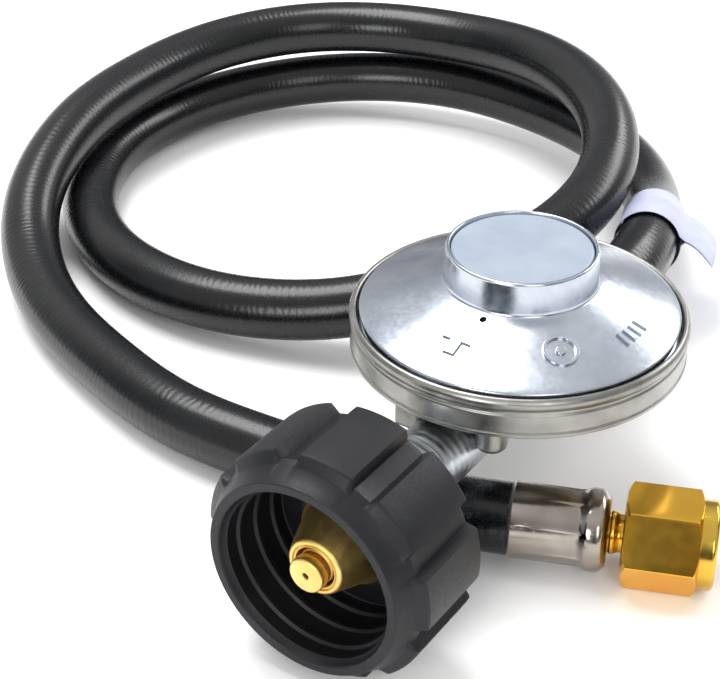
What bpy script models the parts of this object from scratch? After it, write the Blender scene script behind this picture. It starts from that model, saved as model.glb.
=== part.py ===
"""Propane regulator with a hand nut, a 0.9 m hose and a flare nut, in metres, +Z up.

The inlet faces -Y and the hose leaves at +Y. The floor is z = 0.
"""

import math

import bmesh
import bpy
import numpy as np
from mathutils import Matrix, Vector

MM = 0.001
OBJECT_NAME = "propane_regulator_hose"

# Regulator housing, millimetres.
HOUSING_Y = 14.0
PORT_Z = 23.3
RIM_R = 33.5
LID_R = 31.9
TOWER_R = 15.05
TOWER_TOP_Z = 54.1
CAP_R = 14.0

# Inlet side.
NUT_FRONT_Y = -62.0
NUT_BACK_Y = -39.5
NUT_RING_R = 19.6
NUT_LOBE_R = 23.3
NUT_CHANNEL_R = 21.4
NUT_BORE_R = 17.0
NUT_LOBES = 9
NUT_PHASE_DEG = 24.0

# Hose and its two fittings.
HOSE_R = 7.15
FERRULE_R = 7.5
OUTLET_MOUTH_Y = 62.0
FAR_START = Vector((13.9, -10.3, 9.0))
FAR_DIR = Vector((0.932, 0.362, 0.0)).normalized()
HEX_AF = 18.0
LABEL_FROM = 19.0
LABEL_TO = 41.0
FLAG_DIR = Vector((0.9, 0.39, 0.19)).normalized()
FLAG_REACH = 18.3

ROUTE = [
    (0.0, 62.7, 23.3),
    (-4.0, 86.0, 21.5),
    (-15.5, 114.0, 14.0),
    (-29.0, 134.5, 11.5),
    (-48.5, 149.5, 11.0),
    (-71.5, 157.0, 11.0),
    (-97.5, 157.5, 11.5),
    (-124.5, 149.5, 10.5),
    (-145.5, 133.5, 9.0),
    (-159.0, 108.0, 8.0),
    (-159.5, 77.0, 7.5),
    (-146.0, 49.0, 7.5),
    (-129.0, 33.5, 7.5),
    (-109.5, 25.0, 8.0),
    (-86.5, 23.5, 8.5),
    (-62.0, 30.5, 10.5),
    (-41.5, 43.0, 15.5),
    (-26.0, 65.0, 21.0),
    (-22.0, 92.5, 25.5),
    (-30.5, 117.5, 29.0),
    (-46.5, 135.5, 31.0),
    (-69.5, 149.5, 30.0),
    (-95.5, 155.0, 27.5),
    (-120.0, 151.0, 26.5),
    (-142.0, 136.5, 26.0),
    (-156.0, 112.5, 25.0),
    (-159.5, 85.0, 24.0),
    (-157.5, 59.0, 22.0),
    (-148.5, 32.0, 16.0),
    (-134.0, 14.0, 10.0),
    (-112.5, -0.5, 7.5),
    (-87.0, -11.0, 7.5),
    (-62.0, -17.0, 7.5),
    (-34.0, -16.5, 7.5),
    (-5.5, -15.0, 8.0),
    (13.3, -10.5, 9.0),
]

ALONG_Y = (math.radians(-90), 0.0, 0.0)
ALONG_FAR = (0.0, math.radians(90), math.atan2(FAR_DIR.y, FAR_DIR.x))

MATERIALS = {
    "zinc": ((0.50, 0.49, 0.47), 1.0, 0.32),
    "plated_steel": ((0.55, 0.58, 0.62), 1.0, 0.28),
    "stainless": ((0.45, 0.42, 0.38), 1.0, 0.30),
    "brass": ((0.72, 0.47, 0.13), 1.0, 0.22),
    "nut_plastic": ((0.03, 0.03, 0.035), 0.0, 0.45),
    "cap_plastic": ((0.55, 0.60, 0.68), 0.0, 0.35),
    "inner_plastic": ((0.70, 0.68, 0.62), 0.0, 0.45),
    "bushing_plastic": ((0.10, 0.30, 0.12), 0.0, 0.45),
    "rubber": ((0.02, 0.02, 0.022), 0.0, 0.6),
    "hose_rubber": ((0.025, 0.026, 0.03), 0.0, 0.45),
    "paper": ((0.70, 0.72, 0.86), 0.0, 0.6),
}


def clear_scene():
    for obj in list(bpy.data.objects):
        bpy.data.objects.remove(obj, do_unlink=True)
    for mesh in list(bpy.data.meshes):
        bpy.data.meshes.remove(mesh)


def make_collection(name):
    collection = bpy.data.collections.new(name)
    bpy.context.scene.collection.children.link(collection)
    return collection


def make_materials():
    for name, (colour, metallic, roughness) in MATERIALS.items():
        material = bpy.data.materials.new(name)
        material.use_nodes = True
        shader = material.node_tree.nodes["Principled BSDF"]
        shader.inputs["Base Color"].default_value = (*colour, 1.0)
        shader.inputs["Metallic"].default_value = metallic
        shader.inputs["Roughness"].default_value = roughness
        material.diffuse_color = (*colour, 1.0)


def add(name, data, slot, place=(0, 0, 0), turn=(0, 0, 0)):
    """One object of the part, in its collection, with its material."""
    obj = bpy.data.objects.new(name, data)
    if slot is None:
        bpy.data.collections["cutters"].objects.link(obj)
        obj.hide_render = True
        obj.display_type = "WIRE"
    else:
        bpy.data.collections[OBJECT_NAME].objects.link(obj)
        data.materials.append(bpy.data.materials[slot])
    obj.location = [value * MM for value in place]
    obj.rotation_euler = turn
    return obj


def turned(name, outline, slot, steps=32, place=(0, 0, 0), turn=(0, 0, 0)):
    """Outline of (radius, height) in mm, down its outer side, spun round the object's Z.

    An outline that starts on the axis also ends on it; any other is a closed ring.
    """
    mesh = bpy.data.meshes.new(name)
    edit = bmesh.new()
    points = [edit.verts.new((r * MM, 0.0, h * MM)) for r, h in outline]
    for first, second in zip(points, points[1:]):
        edit.edges.new((first, second))
    if outline[0][0] > 0:
        edit.edges.new((points[-1], points[0]))
    edit.to_mesh(mesh)
    edit.free()
    obj = add(name, mesh, slot, place, turn)
    screw = obj.modifiers.new("spin", "SCREW")
    screw.steps = steps
    screw.render_steps = steps
    screw.use_merge_vertices = True
    screw.merge_threshold = 0.00001
    screw.use_smooth_shade = False
    return obj


def box(name, low, high, slot=None):
    mesh = bpy.data.meshes.new(name)
    edit = bmesh.new()
    bmesh.ops.create_cube(edit, size=1.0)
    centre = [(a + b) / 2 * MM for a, b in zip(low, high)]
    size = [(b - a) * MM for a, b in zip(low, high)]
    bmesh.ops.scale(edit, vec=size, verts=edit.verts)
    bmesh.ops.translate(edit, vec=centre, verts=edit.verts)
    edit.to_mesh(mesh)
    edit.free()
    return add(name, mesh, slot)


def rod(name, radius, start, end, sides=24, slot=None, phase=0.0):
    """A closed cylinder or prism from start to end."""
    mesh = bpy.data.meshes.new(name)
    edit = bmesh.new()
    begin = Vector(start) * MM
    finish = Vector(end) * MM
    spin = Matrix.Rotation(phase, 4, "Z")
    face = (finish - begin).to_track_quat("Z", "Y").to_matrix().to_4x4()
    middle = Matrix.Translation((begin + finish) / 2)
    bmesh.ops.create_cone(
        edit,
        cap_ends=True,
        segments=sides,
        radius1=radius * MM,
        radius2=radius * MM,
        depth=(finish - begin).length,
        matrix=middle @ face @ spin,
    )
    edit.to_mesh(mesh)
    edit.free()
    return add(name, mesh, slot)


def join(obj, other, operation="UNION"):
    boolean = obj.modifiers.new(other.name, "BOOLEAN")
    boolean.operation = operation
    boolean.solver = "EXACT"
    boolean.object = other


def cut(obj, other):
    join(obj, other, "DIFFERENCE")


def spring(name, mean_r, wire, low, high, turns, place=(0, 0, 0), turn=(0, 0, 0), side=10):
    """A coil round the object's Z, from low to high over its wire."""
    curve = bpy.data.curves.new(name, "CURVE")
    curve.dimensions = "3D"
    curve.bevel_depth = wire / 2 * MM
    curve.bevel_resolution = 1
    curve.use_fill_caps = True
    line = curve.splines.new("POLY")
    count = int(turns * side) + 1
    line.points.add(count - 1)
    for index in range(count):
        along = index / (count - 1)
        angle = 2 * math.pi * turns * along
        height = low + wire / 2 + (high - low - wire) * along
        x = mean_r * math.cos(angle)
        y = mean_r * math.sin(angle)
        line.points[index].co = (x * MM, y * MM, height * MM, 1.0)
    return add(name, curve, "plated_steel", place, turn)


def smooth_route(count):
    """Points at even distances on the smooth curve through ROUTE, with the tangents there."""
    knots = np.array(ROUTE)
    step = np.sqrt(np.linalg.norm(np.diff(knots, axis=0), axis=1))
    size = len(knots)
    matrix = np.zeros((size, size))
    right = np.zeros((size, 3))
    matrix[0, 0] = 1.0
    matrix[-1, -1] = 1.0
    right[0] = np.array((0.0, 1.0, 0.0)) * step[0]
    right[-1] = np.array(FAR_DIR) * step[-1]
    for index in range(1, size - 1):
        before = step[index - 1]
        after = step[index]
        matrix[index, index - 1] = 1 / before
        matrix[index, index] = 2 * (1 / before + 1 / after)
        matrix[index, index + 1] = 1 / after
        rise_before = (knots[index] - knots[index - 1]) / before**2
        rise_after = (knots[index + 1] - knots[index]) / after**2
        right[index] = 3 * (rise_before + rise_after)
    slope = np.linalg.solve(matrix, right)
    fine = []
    for index in range(size - 1):
        u = np.linspace(0, 1, 40, endpoint=index == size - 2)[:, None]
        h = step[index]
        fine.append(
            (2 * u**3 - 3 * u**2 + 1) * knots[index]
            + (u**3 - 2 * u**2 + u) * h * slope[index]
            + (3 * u**2 - 2 * u**3) * knots[index + 1]
            + (u**3 - u**2) * h * slope[index + 1]
        )
    fine = np.concatenate(fine)
    length = np.concatenate(([0], np.cumsum(np.linalg.norm(np.diff(fine, axis=0), axis=1))))
    wanted = np.linspace(0, length[-1], count)
    points = np.stack([np.interp(wanted, length, fine[:, axis]) for axis in range(3)], axis=1)
    return points, wanted


def regulator_body():
    """Bowl of the housing with its ports, lever ears and valve guide."""
    outline = [
        (0, 19.6),
        (12.5, 19.6),
        (27.0, 35.6),
        (32.7, 35.6),
        (32.7, 38.2),
        (32.15, 38.2),
        (32.15, 39.9),
        (32.5, 40.35),
        (33.1, 40.35),
        (33.65, 39.9),
        (33.85, 39.1),
        (33.65, 38.3),
        (33.2, 37.8),
        (33.2, 37.1),
        (33.5, 36.8),
        (33.5, 33.1),
        (33.65, 32.9),
        (33.65, 31.9),
        (28.0, 31.9),
        (15.0, 18.9),
        (11.0, 17.0),
        (0, 17.0),
    ]
    body = turned("regulator_body", outline, "zinc", 32, (0, HOUSING_Y, 0))
    z = PORT_Z
    join(body, rod("inlet_boss", 10.4, (0, -38.6, z), (0, -27.5, z), 32))
    join(body, rod("boss_step", 8.4, (0, -27.8, z), (0, -24.5, z), 28))
    join(body, rod("inlet_neck", 7.0, (0, -24.8, z), (0, -2.5, z), 24))
    join(body, rod("outlet_boss", 7.6, (0, 28.0, z), (0, 42.5, z), 24))
    join(body, box("guide_block", (-5, 8.5, 18.5), (5, 19, 26.1)))
    join(body, box("left_ear", (-6, 20, 18.5), (-4, 25, 30.5)))
    join(body, box("right_ear", (4, 20, 18.5), (6, 25, 30.5)))
    join(body, box("flat_block", (-11, -15.0, 24.5), (-5, 2, 31)))
    join(body, rod("cast_stud", 3.2, (8.6, -11.0, 34.0), (8.6, -11.0, 24.5), 16))
    cut(body, rod("inlet_bore", 6.9, (0, -39.6, z), (0, -26.5, z), 24))
    cut(body, rod("orifice_bore", 3.5, (0, -27.5, z), (0, 4.0, z), 20))
    cut(body, rod("outlet_bore", 4.4, (0, 26.0, z), (0, 43.5, z), 20))
    cut(body, rod("guide_bore", 2.25, (0, 7.5, z), (0, 20, z), 16))
    cut(body, rod("ear_bore", 1.0, (-7, 22.5, 28.5), (7, 22.5, 28.5), 12))


def bonnet():
    """Pressed lid with the spring tower and its vent hole."""
    outline = [
        (14.2, TOWER_TOP_Z - 0.2),
        (14.4, TOWER_TOP_Z),
        (14.8, TOWER_TOP_Z),
        (TOWER_R, TOWER_TOP_Z - 0.4),
        (15.25, 47.7),
        (15.55, 47.0),
        (16.4, 46.6),
        (31.4, 40.95),
        (LID_R, 40.5),
        (LID_R, 38.0),
        (32.4, 37.9),
        (32.4, 37.2),
        (27.4, 37.2),
        (27.4, 40.2),
        (15.6, 45.2),
        (12.4, 46.2),
        (12.4, 52.3),
        (14.2, 52.3),
    ]
    lid = turned("bonnet", outline, "plated_steel", 32, (0, HOUSING_Y, 0))
    cut(lid, rod("vent", 0.7, (1.2, -2.9, 43), (1.2, -2.9, 49), 10))


def closing_cap():
    outline = [(0, 53.9), (13.6, 53.9), (CAP_R, 53.5), (CAP_R, 52.6), (0, 52.6)]
    turned("closing_cap", outline, "cap_plastic", 32, (0, HOUSING_Y, 0))


def adjusting_parts():
    """Threaded adjusting nut on the upper spring plate."""
    nut = rod("adjusting_nut", 12.0, (0, 0, 48.6), (0, 0, 51.6), 28, "inner_plastic")
    nut.location = (0, HOUSING_Y * MM, 0)
    hexagon = rod("nut_socket", 4.6, (0, HOUSING_Y, 47.6), (0, HOUSING_Y, 52.6), 6)
    cut(nut, hexagon)
    outline = [(11.0, 48.3), (11.0, 47.3), (4.6, 47.3), (4.6, 48.3)]
    turned("spring_plate", outline, "plated_steel", 24, (0, HOUSING_Y, 0))


def diaphragm_parts():
    """Diaphragm, its two plates, the relief stem, spring and nut, and the main spring."""
    centre = (0, HOUSING_Y, 0)
    membrane = [
        (32.4, 36.9),
        (32.4, 35.9),
        (26.4, 35.9),
        (21.5, 33.6),
        (1.9, 33.6),
        (1.9, 34.6),
        (21.1, 34.6),
        (26.1, 36.9),
    ]
    turned("diaphragm", membrane, "rubber", 32, centre)
    upper = [(20.0, 35.9), (20.0, 34.9), (1.9, 34.9), (1.9, 35.9)]
    turned("upper_diaphragm_plate", upper, "plated_steel", 28, centre)
    lower = [(14.0, 33.3), (14.0, 32.3), (1.9, 32.3), (1.9, 33.3)]
    turned("lower_diaphragm_plate", lower, "plated_steel", 24, centre)
    stem = [
        (0, 44.5),
        (1.2, 44.5),
        (1.5, 44.1),
        (1.5, 31.0),
        (2.6, 31.0),
        (2.6, 30.3),
        (1.5, 30.3),
        (1.5, 27.5),
        (2.6, 27.5),
        (2.6, 26.8),
        (1.5, 26.5),
        (0, 26.5),
    ]
    turned("relief_stem", stem, "plated_steel", 16, centre)
    nut = rod("relief_nut", 3.9, (0, 0, 41.8), (0, 0, 43.8), 6, "brass")
    nut.location = (0, HOUSING_Y * MM, 0)
    cut(nut, rod("relief_nut_bore", 1.8, (0, HOUSING_Y, 40.8), (0, HOUSING_Y, 44.8), 16))
    spring("relief_spring", 3.2, 0.8, 36.2, 41.5, 3.5, centre)
    spring("main_spring", 7.5, 1.4, 36.2, 47.0, 3.5, centre, side=14)


def lever_parts():
    """Forked lever on its pin, from the relief stem to the valve plunger."""
    hub = rod("lever", 2.0, (-3.4, 0, 0), (3.4, 0, 0), 16, "plated_steel")
    hub.location = (0, 22.5 * MM, 28.5 * MM)
    join(hub, box("lever_plate", (-3.4, 16.5, 28.1), (3.4, 22.5, 29.1)))
    join(hub, box("left_prong", (-3.4, 12.0, 28.1), (-1.9, 16.8, 29.1)))
    join(hub, box("right_prong", (1.9, 12.0, 28.1), (3.4, 16.8, 29.1)))
    join(hub, box("left_finger", (-3.4, 21.9, 21.9), (-2.6, 23.1, 27.6)))
    join(hub, box("right_finger", (2.6, 21.9, 21.9), (3.4, 23.1, 27.6)))
    cut(hub, rod("lever_hole", 1.1, (-4.4, 22.5, 28.5), (4.4, 22.5, 28.5), 16))
    rod("lever_pin", 0.8, (-5.5, 22.5, 28.5), (5.5, 22.5, 28.5), 12, "plated_steel")


def valve_parts():
    """Orifice in the inlet, and the plunger and rubber seat that close it."""
    port = (0, 0, PORT_Z)
    orifice = [
        (1.8, 1.5),
        (2.2, 1.2),
        (2.4, -1.0),
        (3.2, -1.6),
        (3.2, -24.0),
        (1.2, -24.0),
        (1.2, 1.5),
    ]
    turned("inlet_orifice", orifice, "brass", 16, port, ALONG_Y)
    plunger = [
        (0, 25.0),
        (2.0, 25.0),
        (2.0, 24.5),
        (2.9, 24.5),
        (2.9, 23.7),
        (2.0, 23.7),
        (2.0, 21.3),
        (2.9, 21.3),
        (2.9, 20.5),
        (2.0, 20.5),
        (2.0, 7.0),
        (3.2, 7.0),
        (3.2, 4.2),
        (0, 4.2),
    ]
    turned("valve_plunger", plunger, "inner_plastic", 16, port, ALONG_Y)
    disc = [(0, 3.9), (2.6, 3.9), (2.6, 2.95), (0, 2.95)]
    turned("seat_disc", disc, "rubber", 16, port, ALONG_Y)


def inlet_parts():
    """Brass nipple with its flow limiter, and the thermal bushing behind its flange."""
    port = (0, 0, PORT_Z)
    nipple = [
        (6.5, -28.0),
        (6.5, -46.6),
        (9.4, -46.6),
        (9.4, -48.6),
        (8.2, -49.5),
        (5.8, -56.9),
        (5.4, -57.8),
        (4.3, -57.8),
        (4.3, -47.5),
        (2.2, -47.5),
        (2.2, -28.0),
    ]
    turned("inlet_nipple", nipple, "brass", 24, port, ALONG_Y)
    limiter = [(3.5, -53.5), (3.5, -60.2), (3.2, -60.5), (0.6, -60.5), (0.6, -53.5)]
    turned("flow_limiter", limiter, "brass", 20, port, ALONG_Y)
    spring("flow_limiter_spring", 3.2, 0.7, -53.2, -47.8, 4.5, port, ALONG_Y)
    bushing = [
        (8.2, -39.8),
        (8.2, -44.6),
        (11.0, -44.6),
        (11.0, -46.3),
        (6.9, -46.3),
        (6.9, -39.8),
    ]
    turned("thermal_bushing", bushing, "bushing_plastic", 28, port, ALONG_Y)


def lobe_outline():
    """Angle and radius round the hand nut: nine lobes with a narrow channel between them."""
    points = []
    for lobe in range(NUT_LOBES):
        channel = NUT_PHASE_DEG + 360 / NUT_LOBES * lobe
        points.append((channel - 5.0, NUT_CHANNEL_R))
        points.append((channel + 5.0, NUT_CHANNEL_R))
        points.append((channel + 8.5, NUT_LOBE_R))
        points.append((channel + 20.0, NUT_LOBE_R))
        points.append((channel + 31.5, NUT_LOBE_R))
    return points


def hand_nut():
    """Ribbed hand nut, open at the front, with the nipple's hole through its back wall."""
    mesh = bpy.data.meshes.new("hand_nut")
    edit = bmesh.new()
    ring = []
    for degrees, radius in lobe_outline():
        angle = math.radians(degrees)
        x = radius * math.cos(angle) * MM
        z = radius * math.sin(angle) * MM
        ring.append(edit.verts.new((x, -57.5 * MM, z)))
    face = edit.faces.new(ring)
    grown = bmesh.ops.extrude_face_region(edit, geom=[face])
    moved = [item for item in grown["geom"] if isinstance(item, bmesh.types.BMVert)]
    bmesh.ops.translate(edit, vec=(0, (NUT_BACK_Y + 57.5) * MM, 0), verts=moved)
    bmesh.ops.recalc_face_normals(edit, faces=edit.faces)
    edit.to_mesh(mesh)
    edit.free()
    nut = add("hand_nut", mesh, "nut_plastic", (0, 0, PORT_Z))
    ring_outline = [
        (0, -56.9),
        (21.0, -56.9),
        (NUT_RING_R, -58.4),
        (NUT_RING_R, -61.6),
        (NUT_RING_R - 0.4, NUT_FRONT_Y),
        (0, NUT_FRONT_Y),
    ]
    join(nut, turned("front_ring", ring_outline, None, 40, (0, 0, PORT_Z), ALONG_Y))
    bore = [
        (0, -38.5),
        (8.5, -38.5),
        (8.5, -44.0),
        (NUT_BORE_R, -44.0),
        (NUT_BORE_R, -61.2),
        (NUT_BORE_R + 1.2, -62.6),
        (0, -62.6),
    ]
    cut(nut, turned("nut_bore", bore, None, 36, (0, 0, PORT_Z), ALONG_Y))


def ferrule(name, place, turn, mouth, way):
    """Crimped sleeve: plain for 13.5 mm from its mouth, then swelling and closing in."""
    outer = [(7.5, 0.0), (7.5, 13.5), (8.1, 14.5), (8.1, 17.3), (6.5, 18.5)]
    inner = [(4.7, 18.5), (4.7, 17.2), (6.9, 17.2), (6.9, 0.0)]
    outline = [(r, mouth + way * t) for r, t in outer + inner]
    if way > 0:
        outline = outline[::-1]
    turned(name, outline, "stainless", 28, place, turn)


def outlet_parts():
    """Outlet barb and the ferrule that holds the hose on it."""
    port = (0, 0, PORT_Z)
    barb = [
        (4.0, 61.5),
        (4.3, 60.9),
        (4.3, 43.3),
        (5.6, 43.3),
        (5.6, 42.8),
        (4.1, 42.8),
        (4.1, 36.0),
        (2.6, 36.0),
        (2.6, 61.5),
    ]
    turned("outlet_barb", barb, "brass", 20, port, ALONG_Y)
    ferrule("outlet_ferrule", port, ALONG_Y, OUTLET_MOUTH_Y, -1)


def far_parts():
    """Ferrule, flared stem and swivel nut on the hose's far end."""
    ferrule("far_ferrule", FAR_START, ALONG_FAR, 0.0, 1)
    stem = [
        (3.0, 32.0),
        (3.6, 32.0),
        (7.0, 28.5),
        (7.0, 24.4),
        (3.85, 24.4),
        (3.85, 18.8),
        (4.3, 18.3),
        (4.3, 1.0),
        (4.0, 0.5),
        (2.6, 0.5),
        (2.6, 31.0),
    ]
    turned("far_stem", stem, "brass", 24, FAR_START, ALONG_FAR)
    apothem = math.cos(math.radians(30))
    nut = rod("flare_nut", HEX_AF / 2 / apothem, (0, 0, 21.3), (0, 0, 35.9), 6, "brass")
    nut.location = FAR_START * MM
    nut.rotation_euler = ALONG_FAR
    collar = [(0, 39.0), (8.4, 39.0), (8.75, 38.6), (8.75, 35.0), (0, 35.0)]
    join(nut, turned("nut_collar", collar, None, 28, FAR_START, ALONG_FAR))
    hollow = [(0, 40.0), (7.4, 40.0), (7.4, 24.0), (4.25, 24.0), (4.25, 20.3), (0, 20.3)]
    cut(nut, turned("nut_hollow", hollow, None, 24, FAR_START, ALONG_FAR))


def hose():
    points, _ = smooth_route(79)
    curve = bpy.data.curves.new("hose", "CURVE")
    curve.dimensions = "3D"
    curve.bevel_depth = HOSE_R * MM
    curve.bevel_resolution = 3
    curve.use_fill_caps = True
    line = curve.splines.new("POLY")
    line.points.add(len(points) - 1)
    for index, point in enumerate(points):
        line.points[index].co = (*(point * MM), 1.0)
    add("hose", curve, "hose_rubber")


def hose_label():
    """Paper sleeve round the hose with its two ends stuck together as a flag."""
    points, length = smooth_route(924)
    first = int(np.searchsorted(length, LABEL_FROM))
    last = int(np.searchsorted(length, LABEL_TO))
    stations = [int(value) for value in np.linspace(first, last, 5)]
    sides = 16
    mesh = bpy.data.meshes.new("hose_label")
    edit = bmesh.new()
    rings = []
    for index in stations:
        centre = Vector(points[index])
        along = (Vector(points[index + 1]) - Vector(points[index - 1])).normalized()
        across = along.cross(Vector((0, 0, 1))).normalized()
        upward = across.cross(along)
        pair = []
        for radius in (8.0, 7.6):
            ring = []
            for side in range(sides):
                angle = 2 * math.pi * side / sides
                offset = across * math.cos(angle) + upward * math.sin(angle)
                ring.append(edit.verts.new((centre + offset * radius) * MM))
            pair.append(ring)
        rings.append(pair)
    for side in range(sides):
        after = (side + 1) % sides
        for near, far in zip(rings, rings[1:]):
            for surface in (0, 1):
                corners = (near[surface][side], near[surface][after])
                others = (far[surface][after], far[surface][side])
                edit.faces.new(corners + others)
        for pair in (rings[0], rings[-1]):
            edit.faces.new((pair[0][side], pair[0][after], pair[1][after], pair[1][side]))
    bmesh.ops.recalc_face_normals(edit, faces=edit.faces)
    edit.to_mesh(mesh)
    edit.free()
    label = add("hose_label", mesh, "paper")
    join(label, label_flag(points, first + 1, last - 1))


def label_flag(points, first, last):
    """Thin closed sheet from the sleeve's wall outward."""
    mesh = bpy.data.meshes.new("label_flag")
    edit = bmesh.new()
    start = Vector(points[first])
    end = Vector(points[last])
    normal = (end - start).cross(FLAG_DIR).normalized() * 0.2
    corners = [
        start + FLAG_DIR * 8.15,
        end + FLAG_DIR * 8.15,
        end + FLAG_DIR * FLAG_REACH,
        start + FLAG_DIR * FLAG_REACH,
    ]
    under = [edit.verts.new((corner - normal) * MM) for corner in corners]
    over = [edit.verts.new((corner + normal) * MM) for corner in corners]
    edit.faces.new(under)
    edit.faces.new(over)
    for index in range(4):
        after = (index + 1) % 4
        edit.faces.new((under[index], under[after], over[after], over[index]))
    bmesh.ops.recalc_face_normals(edit, faces=edit.faces)
    edit.to_mesh(mesh)
    edit.free()
    return add("label_flag", mesh, None)


def shade():
    for obj in bpy.data.collections[OBJECT_NAME].objects:
        if obj.type == "MESH":
            obj.data.shade_smooth()
            obj.data.set_sharp_from_angle(angle=math.radians(35))


def main():
    clear_scene()
    make_collection(OBJECT_NAME)
    make_collection("cutters").hide_render = True
    make_materials()
    regulator_body()
    bonnet()
    closing_cap()
    adjusting_parts()
    diaphragm_parts()
    lever_parts()
    valve_parts()
    inlet_parts()
    hand_nut()
    outlet_parts()
    hose()
    hose_label()
    far_parts()
    shade()


main()
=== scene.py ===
import math
import bmesh
import bpy
import numpy as np
from mathutils import Matrix, Vector


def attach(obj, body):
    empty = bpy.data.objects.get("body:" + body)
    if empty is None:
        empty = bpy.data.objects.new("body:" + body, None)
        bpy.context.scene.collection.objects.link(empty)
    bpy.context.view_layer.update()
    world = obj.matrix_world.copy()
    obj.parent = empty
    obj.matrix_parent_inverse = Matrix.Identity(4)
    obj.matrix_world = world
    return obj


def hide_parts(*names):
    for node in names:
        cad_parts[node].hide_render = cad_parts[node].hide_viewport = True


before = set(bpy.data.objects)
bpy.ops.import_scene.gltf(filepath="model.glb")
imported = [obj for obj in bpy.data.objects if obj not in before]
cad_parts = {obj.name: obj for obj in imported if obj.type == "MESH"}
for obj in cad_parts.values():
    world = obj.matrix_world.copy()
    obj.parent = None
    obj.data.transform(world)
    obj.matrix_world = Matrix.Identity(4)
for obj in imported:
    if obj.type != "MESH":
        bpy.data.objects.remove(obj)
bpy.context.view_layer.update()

mm = 0.001
scene = bpy.context.scene
portZ = 23.3  # height of the inlet and outlet axis
housingY = 14.0  # the housing stands at x 0, y 14
farStart = Vector((13.9, -10.3, 9.0))  # mouth of the far ferrule
farWay = Vector((0.932, 0.362, 0.0)).normalized()
alongPort = Matrix.Translation((0, 0, portZ * mm)) @ Matrix.Rotation(math.radians(-90), 4, "X")
upHousing = Matrix.Translation((0, housingY * mm, 0))
farTurn = Matrix.Rotation(math.atan2(farWay.y, farWay.x), 4, "Z")
alongFar = Matrix.Translation(farStart * mm) @ farTurn @ Matrix.Rotation(math.radians(90), 4, "Y")


def linearColour(code):
    parts = [int(code[i : i + 2], 16) / 255 for i in (1, 3, 5)]
    return tuple(c / 12.92 if c <= 0.04045 else ((c + 0.055) / 1.055) ** 2.4 for c in parts) + (1.0,)


cameraSet = {
    "place": (0.1330, -0.2442, 0.2149),
    "bearing": 33.5,  # degrees to the left of +Y
    "down": 32.27,
    "lens": 85.0,
}


def makeCamera():
    data = bpy.data.cameras.new("camera")
    data.lens = cameraSet["lens"]
    data.sensor_width = 36.0
    data.clip_start = 0.01
    data.clip_end = 20
    camera = bpy.data.objects.new("camera", data)
    scene.collection.objects.link(camera)
    bearing = math.radians(cameraSet["bearing"])
    down = math.radians(cameraSet["down"])
    level = math.cos(down)
    look = Vector((-math.sin(bearing) * level, math.cos(bearing) * level, -math.sin(down)))
    camera.location = cameraSet["place"]
    camera.rotation_euler = look.to_track_quat("-Z", "Y").to_euler()
    scene.camera = camera


def node(tree, kind, values=None, **settings):
    # values: socket name or number to a value, or to the socket that feeds it
    made = tree.nodes.new(kind)
    for name, value in settings.items():
        setattr(made, name, value)
    for name, value in (values or {}).items():
        socket = made.inputs[name]
        if isinstance(value, bpy.types.NodeSocket):
            tree.links.new(value, socket)
        else:
            socket.default_value = value
    return made


lightSet = {
    "key": ((-0.35, 0.10, 0.80), (0.55, 0.45), 7.0),  # place, size, watts
    "fill": ((0.60, -0.55, 0.50), (0.35, 0.45), 1.6),
    "back": ((0.25, 0.85, 0.55), (0.80, 0.25), 4.0),
    "front": ((0.05, -0.85, 0.34), (0.35, 0.35), 3.2),
    "aim": (-0.03, 0.05, 0.02),
    "world": 0.85,
}


def makeLights():
    scene.view_settings.view_transform = "Standard"
    for name in ("key", "fill", "back", "front"):
        place, size, watts = lightSet[name]
        data = bpy.data.lights.new(name, "AREA")
        data.shape = "RECTANGLE"
        data.size, data.size_y = size
        data.energy = watts
        lamp = bpy.data.objects.new(name, data)
        lamp.location = place
        aim = Vector(lightSet["aim"]) - Vector(place)
        lamp.rotation_euler = aim.to_track_quat("-Z", "Y").to_euler()
        scene.collection.objects.link(lamp)


def ramp(tree, source, stops, interpolation="LINEAR"):
    made = node(tree, "ShaderNodeValToRGB", {"Fac": source})
    made.color_ramp.interpolation = interpolation
    elements = made.color_ramp.elements
    while len(elements) < len(stops):
        elements.new(1.0)
    for element, (place, colour) in zip(elements, stops):
        element.position = place
        element.color = linearColour(colour)
    return made.outputs["Color"]


def makeWorld():
    # a white room with a darker band at the horizon, broken by pale panels round it
    world = bpy.data.worlds.new("studio")
    scene.world = world
    world.use_nodes = True
    tree = world.node_tree
    tree.nodes.clear()
    way = node(tree, "ShaderNodeTexCoord").outputs["Generated"]
    split = node(tree, "ShaderNodeSeparateXYZ", {0: way})
    turn = node(tree, "ShaderNodeMath", {0: split.outputs["Y"], 1: split.outputs["X"]}, operation="ARCTAN2")
    share = node(
        tree, "ShaderNodeMapRange", {"Value": turn.outputs[0], "From Min": -math.pi, "From Max": math.pi}
    )
    panels = ramp(
        tree,
        share.outputs[0],
        [
            (0.00, "#f4f4f0"),
            (0.08, "#8c8f9b"),
            (0.16, "#f6f6f4"),
            (0.22, "#b8b5a0"),
            (0.26, "#55586a"),
            (0.33, "#5b5e6c"),
            (0.38, "#dcd8c6"),
            (0.45, "#6c6f7c"),
            (0.52, "#f2f2ee"),
            (0.62, "#8a8d98"),
            (0.72, "#ffffff"),
            (0.84, "#7f828c"),
            (0.94, "#ffffff"),
        ],
    )
    high = ramp(tree, split.outputs["Z"], [(0.0, "#000000"), (0.35, "#000000"), (0.85, "#ffffff")])
    mixed = node(tree, "ShaderNodeMix", {"Factor": high, 6: panels, 7: (1, 1, 1, 1)}, data_type="RGBA")
    back = node(tree, "ShaderNodeBackground", {"Color": mixed.outputs[2], "Strength": lightSet["world"]})
    node(tree, "ShaderNodeOutputWorld", {"Surface": back.outputs[0]})


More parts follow.
